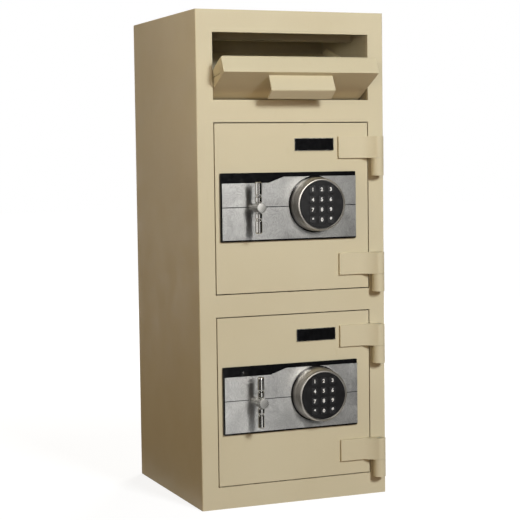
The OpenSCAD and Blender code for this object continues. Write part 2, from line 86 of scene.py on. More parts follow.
# a material under construction, on Object coordinates, which are the frame's own metres:
# node() adds a node and wires its inputs from the values given
class Finish:

    def __init__(self, name):
        self.material = bpy.data.materials.new(name)
        self.material.use_nodes = True
        self.tree = self.material.node_tree
        self.shader = next(n for n in self.tree.nodes if n.type == "BSDF_PRINCIPLED")
        self.place = self.node("ShaderNodeTexCoord").outputs["Object"]

    def node(self, kind, settings=None, **inputs):
        made = self.tree.nodes.new(kind)
        for key, value in (settings or {}).items():
            setattr(made, key, value)
        for key, value in inputs.items():
            self.wire(made.inputs[int(key[1:]) if key[1:].isdigit() else key], value)
        return made

    def wire(self, socket, value):
        if isinstance(value, bpy.types.NodeSocket):
            self.tree.links.new(value, socket)
        else:
            socket.default_value = value

    def set(self, **inputs):
        for key, value in inputs.items():
            self.wire(self.shader.inputs[key.replace("_", " ")], value)

    def scaled(self, scale, place=None):
        return self.node("ShaderNodeMapping", Vector=place or self.place, Scale=scale).outputs[0]

    def noise(self, scale, detail=2.0, place=None, roughness=0.5, output="Fac"):
        made = self.node("ShaderNodeTexNoise", Vector=place or self.place, Scale=scale, Detail=detail,
                         Roughness=roughness)
        return made.outputs[output]

    def spread(self, value, low, high, start=0.3, end=0.7):
        # noise sits near the middle of 0 to 1, so start to end is stretched over low to high
        return self.node("ShaderNodeMapRange", Value=value, i1=start, i2=end, i3=low, i4=high).outputs[0]

    def mixed(self, factor, first, second, kind="MIX"):
        made = self.node("ShaderNodeMix", {"data_type": "RGBA", "blend_type": kind})
        self.wire(made.inputs[0], factor)
        self.wire(made.inputs[6], first)
        self.wire(made.inputs[7], second)
        return made.outputs[2]

    def sums(self, operation, first, second=0.0):
        return self.node("ShaderNodeMath", {"operation": operation}, i0=first, i1=second).outputs[0]

    def vectors(self, operation, first, second=(0, 0, 0)):
        return self.node("ShaderNodeVectorMath", {"operation": operation}, i0=first, i1=second).outputs[0]

    def bump(self, height, strength, distance):
        return self.node("ShaderNodeBump", Height=height, Strength=strength, Distance=distance).outputs[0]


def rgba(hexColour, gain=1.0):
    # a colour is written as it shows on screen, and a shader wants it linear
    v = np.array([int(hexColour[i:i + 2], 16) for i in (1, 3, 5)]) / 255
    linear = np.where(v <= 0.04045, v / 12.92, ((v + 0.055) / 1.055) ** 2.4)
    return (*(linear * gain).tolist(), 1.0)


paintLook = {
    "colour": "#CDC1A1", "cloudy": "#C9BC9B", "dust": "#BDAE8A", "speck": (0.05, 0.04, 0.025, 1),
    "roughness": (0.46, 0.58), "gloss": 0.25, "peelDepth": 0.00006,
    # how fine each pattern is: a larger number makes it finer
    "clouds": 5.5, "scuffs": 38, "smears": 24, "peel": 620, "grain": 2600,
}


def makePaint(name, look, paintedShading=1.0):
    f = Finish(name)
    cloud = f.noise(look["clouds"], 3)
    # paintedShading below 1 paints every colour darker: painted shade
    base = f.mixed(f.spread(cloud, 0, 1), rgba(look["colour"], paintedShading), rgba(look["cloudy"], paintedShading))
    scuffs = f.noise(look["scuffs"], 6, f.scaled((1, 1, 0.35)), 0.7)
    worn = f.spread(scuffs, 0, 0.35, 0.62, 0.80)
    base = f.mixed(worn, base, rgba(look["dust"], paintedShading))
    grain = f.noise(look["grain"], 1)
    base = f.mixed(f.spread(grain, 0, 0.10), base, look["speck"], "MULTIPLY")
    rough = f.spread(f.noise(look["smears"], 4), *look["roughness"])
    peel = f.bump(f.noise(look["peel"], 2), 0.5, look["peelDepth"])
    f.set(Base_Color=base, Roughness=rough, Normal=peel)
    f.shader.inputs["Specular IOR Level"].default_value = look["gloss"]
    return f.material


brushedLook = {
    "light": "#D2D1CE", "dark": "#A09F9D", "roughness": (0.30, 0.40), "grain": 2400, "mottle": 26,
    "swirl": 13, "bend": 0.16, "stroke": 520,
    # the two faces are one metal, yet the upper face's colour is painted 20 per cent darker and the lower
    # one's 6 per cent lighter: painted shade and painted light for how the lamps fall on each
    "lineDepth": {"upper": 0.00010, "lower": 0.0002}, "paintedShading": {"upper": 0.80, "lower": 1.06},
}


def makeBrushed(name, look, lineDepth, paintedShading):
    # fine lines across the face spread its light upwards and downwards, and longer strokes lie along
    # arcs: their place is bent by a slow noise before it is stretched
    f = Finish(name)
    slow = f.noise(look["swirl"], 2, output="Color")
    centred = f.vectors("SUBTRACT", slow, (0.5, 0.5, 0.5))
    spot = f.vectors("ADD", f.place, f.vectors("MULTIPLY", centred, (look["bend"],) * 3))
    strokes = f.noise(look["stroke"], 2, f.scaled((1, 1, 0.12), spot), 0.6)
    lines = f.noise(look["grain"], 2, f.scaled((0.05, 1, 1)), 0.6)
    mottle = f.noise(look["mottle"], 4, spot, 0.6)
    tone = f.sums("ADD", f.spread(mottle, 0, 0.3), f.spread(strokes, 0, 0.6))
    # painted shading: the colours are scaled darker or lighter for how the light falls on this door's face
    base = f.mixed(tone, rgba(look["dark"], paintedShading), rgba(look["light"], paintedShading))
    rough = f.sums("ADD", f.spread(strokes, *look["roughness"]), f.spread(mottle, -0.02, 0.04))
    f.set(Base_Color=base, Roughness=rough, Metallic=1.0, Normal=f.bump(lines, 1.0, lineDepth))
    return f.material


chromeLook = {
    "light": "#D9D8D4", "dark": "#B3B0AA", "roughness": (0.08, 0.14), "ringDepth": 0.000012,
    "rings": 1500, "smears": 60,
}
padChromeLook = {
    **chromeLook, "light": "#C6C2BB", "dark": "#98928A", "roughness": (0.28, 0.38), "ringDepth": 0.00002,
}


def makeChrome(name, look, turnedAbout=None):
    # fine turning marks are rings about the piece's own axis: a noise of the radius and the depth alone
    f = Finish(name)
    if turnedAbout:
        parts = f.node("ShaderNodeSeparateXYZ", Vector=f.vectors("SUBTRACT", f.place, turnedAbout))
        flat = f.node("ShaderNodeCombineXYZ", X=parts.outputs["X"], Y=parts.outputs["Z"]).outputs[0]
        radius = f.node("ShaderNodeVectorMath", {"operation": "LENGTH"}, i0=flat).outputs["Value"]
        marks = f.node("ShaderNodeCombineXYZ", X=radius, Y=parts.outputs["Y"]).outputs[0]
    else:
        marks = f.scaled((1, 1, 0.02))
    rings = f.noise(look["rings"], 3, marks, 0.7)
    smear = f.noise(look["smears"], 3)
    base = f.mixed(f.spread(rings, 0, 1), rgba(look["light"]), rgba(look["dark"]))
    rough = f.sums("ADD", f.spread(rings, *look["roughness"]), f.spread(smear, 0, 0.05))
    f.set(Base_Color=base, Roughness=rough, Metallic=1.0, Normal=f.bump(rings, 0.5, look["ringDepth"]))
    return f.material


hatchLook = {
    "light": "#BAB9B5", "dark": "#7A7874", "roughness": (0.34, 0.44), "pitch": 3.4 * mm, "depth": 0.00003,
    "grain": 900,
}


def makeHatched(name, look):
    # two sets of ridges cross at right angles, each the sine of the place along its own slope
    f = Finish(name)
    parts = f.node("ShaderNodeSeparateXYZ", Vector=f.place)
    waves = []
    for kind in ("ADD", "SUBTRACT"):
        along = f.sums(kind, parts.outputs["X"], parts.outputs["Z"])
        waves.append(f.sums("SINE", f.sums("MULTIPLY", along, 2 * math.pi / look["pitch"])))
    ridges = f.sums("ADD", *waves)
    fine = f.noise(look["grain"], 3)
    # the base colour follows the ridges, lighter on their crests and darker in their valleys: painted shade
    base = f.mixed(f.spread(ridges, 0, 1, -1.6, 1.6), rgba(look["dark"]), rgba(look["light"]))
    f.set(Base_Color=base, Roughness=f.spread(fine, *look["roughness"]), Metallic=1.0,
          Normal=f.bump(f.sums("ADD", ridges, fine), 1.0, look["depth"]))
    return f.material


plasticLook = {"handled": 55, "smears": 120, "peel": 1900, "coatRoughness": 0.08}


def makePlastic(name, colour, worn, roughness, peelDepth=0.00002, coat=0.0):
    # handled spots have the worn colour, and the skin has a fine peel
    f = Finish(name)
    handled = f.noise(plasticLook["handled"], 5, None, 0.65)
    base = f.mixed(f.spread(handled, 0, 1, 0.45, 0.75), rgba(colour), rgba(worn))
    rough = f.spread(f.noise(plasticLook["smears"], 3), *roughness)
    peel = f.bump(f.noise(plasticLook["peel"], 2), 0.4, peelDepth)
    f.set(Base_Color=base, Roughness=rough, Normal=peel)
    if coat:
        f.shader.inputs["Coat Weight"].default_value = coat
        f.shader.inputs["Coat Roughness"].default_value = plasticLook["coatRoughness"]
    return f.material


steelLook = {"rolling": 900, "rollingDepth": 0.00002}


def makeSteel(name, light, dark, roughness, spangle=70):
    # plated steel: patches of two tones, with fine rolling marks
    f = Finish(name)
    cells = f.node("ShaderNodeTexVoronoi", Vector=f.place, Scale=spangle).outputs["Color"]
    patch = f.node("ShaderNodeSeparateColor", Color=cells).outputs[0]
    rolled = f.noise(steelLook["rolling"], 2, f.scaled((1, 1, 0.05)), 0.6)
    tone = f.sums("ADD", f.sums("MULTIPLY", patch, 0.6), f.spread(rolled, 0, 0.4))
    base = f.mixed(tone, rgba(dark), rgba(light))
    f.set(Base_Color=base, Roughness=f.spread(rolled, *roughness), Metallic=1.0,
          Normal=f.bump(rolled, 0.3, steelLook["rollingDepth"]))
    return f.material


paint = makePaint("creamPaint", paintLook)
innerPaint = makePaint("creamPaintInside", {**paintLook, "roughness": (0.48, 0.6)})
# the chute's paint is painted 20 per cent darker: painted shade for the inside of the slot, which the lamps
# reach little
shadedChutePaint = makePaint("creamPaintChuteShaded", {**paintLook, "roughness": (0.5, 0.64)}, 0.8)
brushed = {}
for door in doorNames:
    brushed[door] = makeBrushed(f"{door}BrushedFace", brushedLook, brushedLook["lineDepth"][door],
                                brushedLook["paintedShading"][door])
chrome = makeChrome("handleChrome", chromeLook)
hubSteel = makeHatched("hubSteel", hatchLook)
blackGloss = makePlastic("blackGloss", "#0B0B0C", "#141416", (0.10, 0.2), coat=0.35)
discBlack = makePlastic("discBlack", "#0E0D0E", "#171617", (0.28, 0.38), 0.00003)
keyBlack = makePlastic("keyBlack", "#161517", "#222123", (0.36, 0.5), 0.00003)
digitInk = makePlastic("digitInk", "#E9E7E0", "#CFCBC0", (0.4, 0.55))
rimSteel = makeSteel("badgeRim", "#E3E0D4", "#CBC8BC", (0.2, 0.3))
zincSteel = makeSteel("zincSteel", "#B9B8B2", "#96958F", (0.28, 0.42))
boltBrass = makeSteel("boltBrass", "#C9AD6B", "#A98D50", (0.22, 0.36))
screwSteel = makeSteel("screwSteel", "#8E8D89", "#6F6E6A", (0.25, 0.4), 300)
print("materials made")

# a shape's own directions in the frame: every new surface is a grid of points or a profile on a path
facing = {
    "front": Matrix(((1, 0, 0), (0, 0, -1), (0, 1, 0))),  # u across, v up, w towards the viewer
    "back": Matrix(((-1, 0, 0), (0, 0, 1), (0, 1, 0))),  # u across to the left, v up, w to the back
    "right": Matrix(((0, 0, 1), (1, 0, 0), (0, 1, 0))),  # u back, v up, w to the right
    "up": Matrix(((1, 0, 0), (0, 1, 0), (0, 0, 1))),  # the frame's own directions
}


def toFrame(points, way, at):
    return points @ np.array(facing[way]).T + np.asarray(at, float)


def applied(piece):
    # the modifiers' result becomes the piece's own mesh
    graph = bpy.context.evaluated_depsgraph_get()
    mesh = bpy.data.meshes.new_from_object(piece.evaluated_get(graph))
    piece.modifiers.clear()
    piece.data = mesh
    return piece


def evened(piece, angle=32):
    # smooth shading up to the angle, with the large faces deciding it, so that flat areas look flat
    mesh = piece.data
    mesh.polygons.foreach_set("use_smooth", np.ones(len(mesh.polygons), bool))
    mesh.set_sharp_from_angle(angle=math.radians(angle))
    even = piece.modifiers.new("evened", "WEIGHTED_NORMAL")
    even.mode, even.weight, even.keep_sharp = "FACE_AREA", 50, True
    return applied(piece)


def meshPiece(name, points, faces, material, angle=32):
    mesh = bpy.data.meshes.new(name)
    mesh.from_pydata(np.asarray(points, float), [], faces)
    mesh.materials.append(material)
    piece = bpy.data.objects.new(name, mesh)
    bpy.context.scene.collection.objects.link(piece)
    return evened(piece, angle)


def gridFaces(rows, columns):
    # quads between neighbouring rows of points, each row closed on itself, and a cap over both ends
    i, j = np.meshgrid(np.arange(rows - 1), np.arange(columns), indexing="ij")
    k = (j + 1) % columns
    quads = np.stack([i * columns + j, i * columns + k, (i + 1) * columns + k, (i + 1) * columns + j], -1)
    caps = [list(range(columns))[::-1], list(range((rows - 1) * columns, rows * columns))]
    return quads.reshape(-1, 4).tolist() + caps


def filleted(corners, radius, steps=5, closed=True):
    # each corner becomes an arc that touches both its sides: its centre lies on the corner's
    # half-angle line, and the arc turns from one side's touching point to the other's
    p = np.asarray(corners, float)
    r = np.broadcast_to(np.asarray(radius, float), len(p))[:, None]
    a, b = np.roll(p, 1, 0) - p, np.roll(p, -1, 0) - p
    a /= np.linalg.norm(a, axis=1, keepdims=True)
    b /= np.linalg.norm(b, axis=1, keepdims=True)
    half = np.arccos(np.clip((a * b).sum(1), -1, 1))[:, None] / 2
    middle = (a + b) / np.linalg.norm(a + b, axis=1, keepdims=True)
    centre = p + middle * r / np.sin(half)
    first, last = p + a * r / np.tan(half) - centre, p + b * r / np.tan(half) - centre
    turn = (math.pi - 2 * half)[:, :, None]
    t = np.linspace(0, 1, steps)[None, :, None]
    swung = np.sin((1 - t) * turn) * first[:, None] + np.sin(t * turn) * last[:, None]
    arc = centre[:, None] + swung / np.sin(turn)
    if closed:
        return arc.reshape(-1, 2)
    return np.vstack([p[:1], arc[1:-1].reshape(-1, 2), p[-1:]])


def roundedBox(width, height, radius, steps=7):
    w, h = width / 2, height / 2
    return filleted([(w, -h), (w, h), (-w, h), (-w, -h)], radius, steps)


def inset(outline, distance):
    # every point moves inwards along the mitre of its two sides
    side = np.roll(outline, -1, 0) - outline
    side /= np.linalg.norm(side, axis=1, keepdims=True)
    out = np.stack([side[:, 1], -side[:, 0]], 1)
    before = np.roll(out, 1, 0)
    mitre = (before + out) / (1 + (before * out).sum(1, keepdims=True))
    return outline - mitre * distance


def slab(name, outline, low, high, edge, material, way="front", at=(0, 0, 0), crown=0.0, steps=5):
    # the outline is carried from low to high, and drawn in along a quarter circle at both ends; a crown
    # lifts the front towards the middle by a bowl, in rings of 0.8, 0.55 and 0.3 of the outline
    t = np.linspace(0, math.pi / 2, steps)
    drawn = np.concatenate([edge * (1 - np.sin(t)), edge * (1 - np.cos(t))])
    height = np.concatenate([low + edge * (1 - np.cos(t)), high - edge * (1 - np.sin(t))])
    count = len(outline)
    rings = [np.column_stack([inset(outline, d), np.full(count, h)]) for d, h in zip(drawn, height)]
    if crown:
        inner, middle = rings[-1][:, :2], rings[-1][:, :2].mean(0)
        for share in (0.8, 0.55, 0.3):
            bowl = high + crown * (1 - share ** 2)
            rings.append(np.column_stack([middle + (inner - middle) * share, np.full(count, bowl)]))
    return meshPiece(name, toFrame(np.vstack(rings), way, at), gridFaces(len(rings), count), material)


def lathe(name, profile, material, way="front", at=(0, 0, 0), turns=96, flutes=None, angle=32):
    # the profile of radius and height turns about the axis; flutes give (count, depth, from, to), and
    # between those two heights the radius swings by the depth as a cosine of the angle
    p = np.asarray(profile, float)
    t = np.linspace(0, 2 * math.pi, turns, endpoint=False)
    r = np.repeat(p[:, :1], turns, 1)
    if flutes:
        count, depth, start, end = flutes
        part = ((p[:, 1] >= start) & (p[:, 1] <= end)).astype(float)[:, None]
        r = r + part * depth * (np.cos(count * t)[None] - 1) / 2
    points = np.stack([r * np.cos(t), r * np.sin(t), np.repeat(p[:, 1:], turns, 1)], -1).reshape(-1, 3)
    return meshPiece(name, toFrame(points, way, at), gridFaces(len(p), turns), material, angle)


def finished(piece, body, slotName, *replaced):
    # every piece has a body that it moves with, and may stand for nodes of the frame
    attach(piece, body)
    if replaced:
        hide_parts(*replaced)


# what counts as one corner and, in degrees, as flat; a corner sharper than sharpFrom is rounded, and
# shading is smooth up to smoothTo
softLook = {"weld": 0.002 * mm, "flat": 0.4, "sharpFrom": 40, "smoothTo": 38}


def flattened(mesh, source):
    # corners are joined and flat areas become single faces, in triangles where they wrap round a hole
    work = bmesh.new()
    work.from_mesh(source)
    flat = math.radians(softLook["flat"])
    bmesh.ops.remove_doubles(work, verts=work.verts, dist=softLook["weld"])
    bmesh.ops.dissolve_limit(work, angle_limit=flat, verts=work.verts, edges=work.edges)
    bmesh.ops.triangulate(work, faces=[face for face in work.faces if len(face.verts) > 4])
    work.to_mesh(mesh)
    work.free()


def mergedCopy(name, node):
    # the CAD mesh is loose triangles, so a copy is made whole
    mesh = bpy.data.meshes.new(name)
    flattened(mesh, nodes[node].data)
    piece = bpy.data.objects.new(name, mesh)
    bpy.context.scene.collection.objects.link(piece)
    return piece


def softened(name, names, width, material, segments=3):
    # a real edge is never sharp: it is rounded by the width, after several nodes are welded into one
    piece = mergedCopy(name, names[0])
    others = [mergedCopy(name + "Part", node) for node in names[1:]]
    if others:
        for other in others:
            union = piece.modifiers.new("union", "BOOLEAN")
            union.operation, union.solver, union.object = "UNION", "EXACT", other
        applied(piece)
        for other in others:
            bpy.data.objects.remove(other)
        flattened(piece.data, piece.data)
    bevel = piece.modifiers.new("rounded", "BEVEL")
    bevel.width, bevel.segments, bevel.limit_method = width, segments, "ANGLE"
    bevel.angle_limit = math.radians(softLook["sharpFrom"])
    applied(piece)
    piece.data.materials.clear()
    piece.data.materials.append(material)
    return evened(piece, softLook["smoothTo"])


# how far the edges of each kind of piece are rounded
cabinetLook = {"body": 0.9 * mm, "sheet": 0.4 * mm, "panel": 0.8 * mm, "post": 0.9 * mm}

# each piece: its nodes, its kind of edge, its material, its body and its slot
for name, names, edge, material, body, slotName in (
    ("cabinetBody", ("cabinet_shell", "front_frame"), "body", paint, "cabinet", "body_paint"),
    ("shelf", ("compartment_shelf",), "sheet", innerPaint, "cabinet", "body_paint"),
    ("hingePosts", ("hinge_posts",), "post", paint, "cabinet", "body_paint"),
    ("hingePins", ("hinge_pins",), "post", zincSteel, "cabinet", "zinc_steel"),
    ("chute", ("deposit_chute",), "sheet", shadedChutePaint, "cabinet", "body_paint"),
    ("hopperPivots", ("hopper_pivots",), "sheet", zincSteel, "cabinet", "zinc_steel"),
    ("hopperPanel", ("hopper_panel",), "panel", paint, "hopper", "body_paint"),
    ("hopperTray", ("hopper_tray",), "sheet", innerPaint, "hopper", "body_paint"),
):
    finished(softened(name, names, cabinetLook[edge], material), body, slotName, *names)

pullLook = {
    # its slope in degrees, the solid's reach, the lengths of its two legs, and how many degrees its
    # bend is wider than square
    "lean": 27.5, "solidOut": 26 * mm, "out": 29.6 * mm, "lip": 25.5 * mm, "opened": 10,
    "thick": 3 * mm, "sunk": 1 * mm, "bend": 1.2 * mm, "corner": 0.6 * mm, "edge": 0.4 * mm,
}


def makePull(p):
    # a strip bent once: out from the panel, where it is sunk in a little, then back under it
    low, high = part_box("hopper_pull")
    lean, turn = math.radians(p["lean"]), math.radians(p["lean"] + p["opened"])
    out, lip = np.array((-math.sin(lean), -math.cos(lean))), np.array((math.cos(turn), -math.sin(turn)))
    underOut, overLip = np.array((-out[1], out[0])), np.array((-lip[1], lip[0]))
    root = np.array((low.y + p["solidOut"] * math.sin(lean), high.z))
    bend = root + out * p["out"]
    tip = bend + lip * p["lip"]
    inner = bend + (underOut + overLip) / (1 + underOut @ overLip) * p["thick"]
    root = root - out * p["sunk"]
    corners = [root, bend, tip, tip + overLip * p["thick"], inner, root + underOut * p["thick"]]
    c, b = p["corner"], p["bend"]
    outline = filleted(corners, (c, b + p["thick"], c, c, b, c))
    return slab("hopperPull", outline, low.x, high.x, p["edge"], paint, "right")


finished(makePull(pullLook), "hopper", "body_paint", "hopper_pull")
print("cabinet and hopper made")

# dark strips that stand for the shade in each lock face's groove
grooveShadeLook = {
    # back and front are counted from the frame's middle towards the viewer, spans from left to right
    "rise": 2 * mm, "height": 1.38 * mm, "back": 184.55 * mm, "front": 185.1 * mm,
    "corner": 0.1 * mm, "edge": 0.05 * mm,
    "spans": ((-140.4 * mm, -93.4 * mm), (-76.6 * mm, -11.4 * mm), (92.4 * mm, 124.4 * mm)),
}


def makeGrooveShade(door, z):
    # painted shade: the groove lies in shadow, so dark strips lie on its floor to stand for that shade,
    # clear of the keypad's seat and the spindle
    g = grooveShadeLook
    for i, (start, end) in enumerate(g["spans"]):
        outline = roundedBox(end - start, g["height"], g["corner"], 3)
        strip = slab(f"{door}_groove_{i}", outline, g["back"], g["front"], g["edge"], discBlack,
                     at=((start + end) / 2, 0, z + g["rise"]), steps=3)
        finished(strip, f"{door}_door", "black_plastic")


badgeLook = {
    "corner": 1.5 * mm, "edge": 0.4 * mm, "rim": 1.2 * mm,
    "proud": 0.25 * mm, "fieldCorner": 0.9 * mm, "fieldEdge": 0.15 * mm,
}


def makeBadge(door):
    # a pale rim holds a bare black field, which stands a little proud of it
    b = badgeLook
    low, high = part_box(f"{door}_badge")
    middle = ((low.x + high.x) / 2, 0, (low.z + high.z) / 2)
    wide, tall = high.x - low.x, high.z - low.z
    outline = roundedBox(wide, tall, b["corner"])
    rim = slab(f"{door}_badgeRim", outline, -high.y, -low.y, b["edge"], rimSteel, at=middle)
    finished(rim, f"{door}_door", "badge_black", f"{door}_badge")
    outline = roundedBox(wide - 2 * b["rim"], tall - 2 * b["rim"], b["fieldCorner"])
    field = slab(f"{door}_badgeField", outline, -high.y, -low.y + b["proud"], b["fieldEdge"], blackGloss,
                 at=middle)
    finished(field, f"{door}_door", "badge_black")


padLook = {
    "middleX": 40.5 * mm, "rise": 5 * mm, "seatY": -187 * mm, "wallBend": 0.22 * mm, "discEdge": 0.25 * mm,
    # radius and height over the seat: the wall, its lean, a groove, the rim and the step to the disc
    "wall": ((46, 0), (49.25, 0), (49.25, 13.6), (47.9, 25.0), (47.1, 25.5), (47.1, 26.3), (47.5, 26.7),
             (47.2, 29.4), (46.0, 30.8), (44.5, 31.0), (43.3, 30.2), (43.05, 29.2), (43.05, 18)),
}


def makeKeypad(door, z):
    centre = (padLook["middleX"], padLook["seatY"], z + padLook["rise"])
    turned = makeChrome(f"{door}PadChrome", padChromeLook, centre)
    wall = filleted(np.array(padLook["wall"]) * mm, padLook["wallBend"], 4, closed=False)
    housing = lathe(f"{door}_padHousing", wall, turned, at=centre, turns=160)
    finished(housing, f"{door}_door", "chrome", f"{door}_keypad_housing")
    disc = softened(f"{door}_padDisc", [f"{door}_keypad_disc"], padLook["discEdge"], discBlack, segments=2)
    finished(disc, f"{door}_door", "black_plastic", f"{door}_keypad_disc")


keyLook = {
    "width": 12 * mm, "height": 12.5 * mm, "corner": 2.5 * mm, "edge": 0.35 * mm, "crown": 0.05 * mm,
    "frontY": -217.8 * mm, "backY": -212.05 * mm, "stepX": 17.8 * mm, "stepZ": 18.3 * mm,
    # the signs: the height of their letters, how much bolder they are, and the ink's thickness
    "digit": 8.8 * mm, "hash": 6.48 * mm, "bold": 0.034, "ink": 0.02 * mm, "inkEdge": 0.004 * mm,
    "signRise": 2.0 * mm, "starTip": 2.3 * mm, "starWaist": 1.25 * mm, "starArms": 6,
}


def signMesh(name, text, size, depth):
    # the letter is drawn by the built-in font, then its mesh is centred on its own box
    curve = bpy.data.curves.new(name, "FONT")
    curve.body, curve.size, curve.extrude, curve.resolution_u = text, size, depth, 6
    curve.offset = size * keyLook["bold"]
    letter = bpy.data.objects.new(name, curve)
    bpy.context.scene.collection.objects.link(letter)
    graph = bpy.context.evaluated_depsgraph_get()
    mesh = bpy.data.meshes.new_from_object(letter.evaluated_get(graph))
    bpy.data.objects.remove(letter)
    points = np.zeros(len(mesh.vertices) * 3)
    mesh.vertices.foreach_get("co", points)
    points = points.reshape(-1, 3)
    faces = [list(face.vertices) for face in mesh.polygons]
    bpy.data.meshes.remove(mesh)
    return points - (points.min(0) + points.max(0)) / 2, faces


def starOutline():
    # the radius goes in turn to the tips and to the waist between them
    arms = keyLook["starArms"]
    t = math.pi / 2 + np.arange(2 * arms) * math.pi / arms
    r = np.where(np.arange(2 * arms) % 2 == 0, keyLook["starTip"], keyLook["starWaist"])
    return np.column_stack([r * np.cos(t), r * np.sin(t)])


def makeKeys(door, z):
    p = keyLook
    outline = roundedBox(p["width"], p["height"], p["corner"])
    back, front, top = -p["backY"], -p["frontY"], p["crown"] - p["frontY"]
    for k, name in enumerate(keyNames):
        x = padLook["middleX"] + (k % 3 - 1) * p["stepX"]
        up = z + padLook["rise"] + (1.5 - k // 3) * p["stepZ"]
        body = f"{door}_key_{name}_body"
        cap = slab(f"{door}_cap_{name}", outline, back, front, p["edge"], keyBlack, at=(x, 0, up),
                   crown=p["crown"])
        finished(cap, body, "key_plastic", f"{door}_key_{name}")
        inkName = f"{door}_ink_{name}"
        if name in ("star", "hash"):
            up += p["signRise"]
        if name == "star":
            ink = slab(inkName, starOutline(), top, top + p["ink"], p["inkEdge"], digitInk, at=(x, 0, up),
                       steps=2)
        else:
            text, size = ("#", p["hash"]) if name == "hash" else (name, p["digit"])
            points, faces = signMesh(inkName, text, size, p["ink"])
            points = toFrame(points, "front", (x, -top - p["ink"] / 2, up))
            ink = meshPiece(inkName, points, faces, digitInk)
        finished(ink, body, "key_plastic")


barLook = {
    "x": -85 * mm, "rise": 2 * mm, "y": -221 * mm, "bend": 0.25 * mm,
    # radius and height over the hub's middle, mirrored below it
    "half": ((0.6, 46), (4.2, 46), (5.6, 45.3), (6.2, 43.6), (6.2, 23.9), (5.5, 23.2), (4.9, 22.3),
             (4.9, 20.2), (5.5, 19.3), (6.2, 18.6), (6.2, 11.2), (5.0, 9.4)),
}
hubLook = {
    "spindleEdge": 0.5 * mm, "flutes": 16, "fluteDepth": 0.5 * mm, "fluteEnds": (-9.5 * mm, 9.5 * mm),
    # radius and height of the fluted collar, over the bar's middle
    "collar": ((7.4, -10.6), (9.1, -9.4), (9.1, -8.0), (9.1, 8.0), (9.1, 9.4), (9.0, 13.6), (8.8, 14.7),
               (8.2, 15.3), (7.4, 15.5), (0.8, 15.6)),
}


def makeHandle(door, z):
    centre = (barLook["x"], barLook["y"], z + barLook["rise"])
    half = np.array(barLook["half"]) * mm
    whole = np.vstack([half * (1, -1), half[::-1]])  # the lower end first
    bar = lathe(f"{door}_bar", filleted(whole, barLook["bend"], 4, closed=False), chrome, "up", centre, 72)
    finished(bar, f"{door}_handle", "chrome", f"{door}_handle_bar")
    spindle = softened(f"{door}_spindle", [f"{door}_handle_spindle"], hubLook["spindleEdge"], chrome)
    finished(spindle, f"{door}_handle", "chrome", f"{door}_handle_spindle")
    flutes = (hubLook["flutes"], hubLook["fluteDepth"], *hubLook["fluteEnds"])
    collar = lathe(f"{door}_hubCollar", np.array(hubLook["collar"]) * mm, hubSteel, at=centre,
                   turns=hubLook["flutes"] * 8, flutes=flutes, angle=25)
    finished(collar, f"{door}_handle", "chrome")


# the screws' distance from the cover's edges, and the radius and height of their heads
screwLook = {"inset": 14 * mm, "head": ((3.6, 0), (3.6, 0.57), (3.24, 1.33), (1.98, 1.9), (0.3, 1.9))}


def makeScrews(door):
    # pan-head screws hold the cover's back to the door
    low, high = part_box(f"{door}_bolt_cover")
    head, far = np.array(screwLook["head"]) * mm, screwLook["inset"]
    spots = [(x, up) for x in (low.x + far, high.x - far) for up in (low.z + far, high.z - far)]
    for i, (x, up) in enumerate(spots):
        screw = lathe(f"{door}_screw_{i}", head, screwSteel, "back", (x, high.y, up), 32)
        finished(screw, f"{door}_door", "zinc_steel")


# how far the edges of each kind of piece are rounded
doorLook = {
    "plate": 1.0 * mm, "straps": 0.8 * mm, "cover": 0.8 * mm, "backing": 0.6 * mm, "face": 0.2 * mm,
    "case": 0.6 * mm, "bolt": 0.5 * mm,
}


def makeDoor(door):
    low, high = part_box(f"{door}_door_plate")
    z = (low.z + high.z) / 2
    # each piece: its node, its kind of edge, its material, its body and its slot
    for name, node, edge, material, body, slotName in (
        ("plate", "door_plate", "plate", paint, "door", "body_paint"),
        ("straps", "hinge_straps", "straps", paint, "door", "body_paint"),
        ("boltCover", "bolt_cover", "cover", innerPaint, "door", "body_paint"),
        ("backing", "lock_backing", "backing", blackGloss, "door", "black_plastic"),
        ("face", "lock_face", "face", brushed[door], "door", "brushed_face"),
        ("lockCase", "lock_case", "case", zincSteel, "door", "zinc_steel"),
        ("bolts", "bolt_bar", "bolt", zincSteel, "bolts", "zinc_steel"),
        ("lockBolt", "lock_bolt", "bolt", boltBrass, "lock_bolt_body", "bolt_brass"),
    ):
        piece = softened(f"{door}_{name}", [f"{door}_{node}"], doorLook[edge], material)
        finished(piece, f"{door}_{body}", slotName, f"{door}_{node}")
    makeGrooveShade(door, z)
    makeBadge(door)
    makeKeypad(door, z)
    makeKeys(door, z)
    makeHandle(door, z)
    makeScrews(door)


for door in doorNames:
    makeDoor(door)
    print(door, "door made")

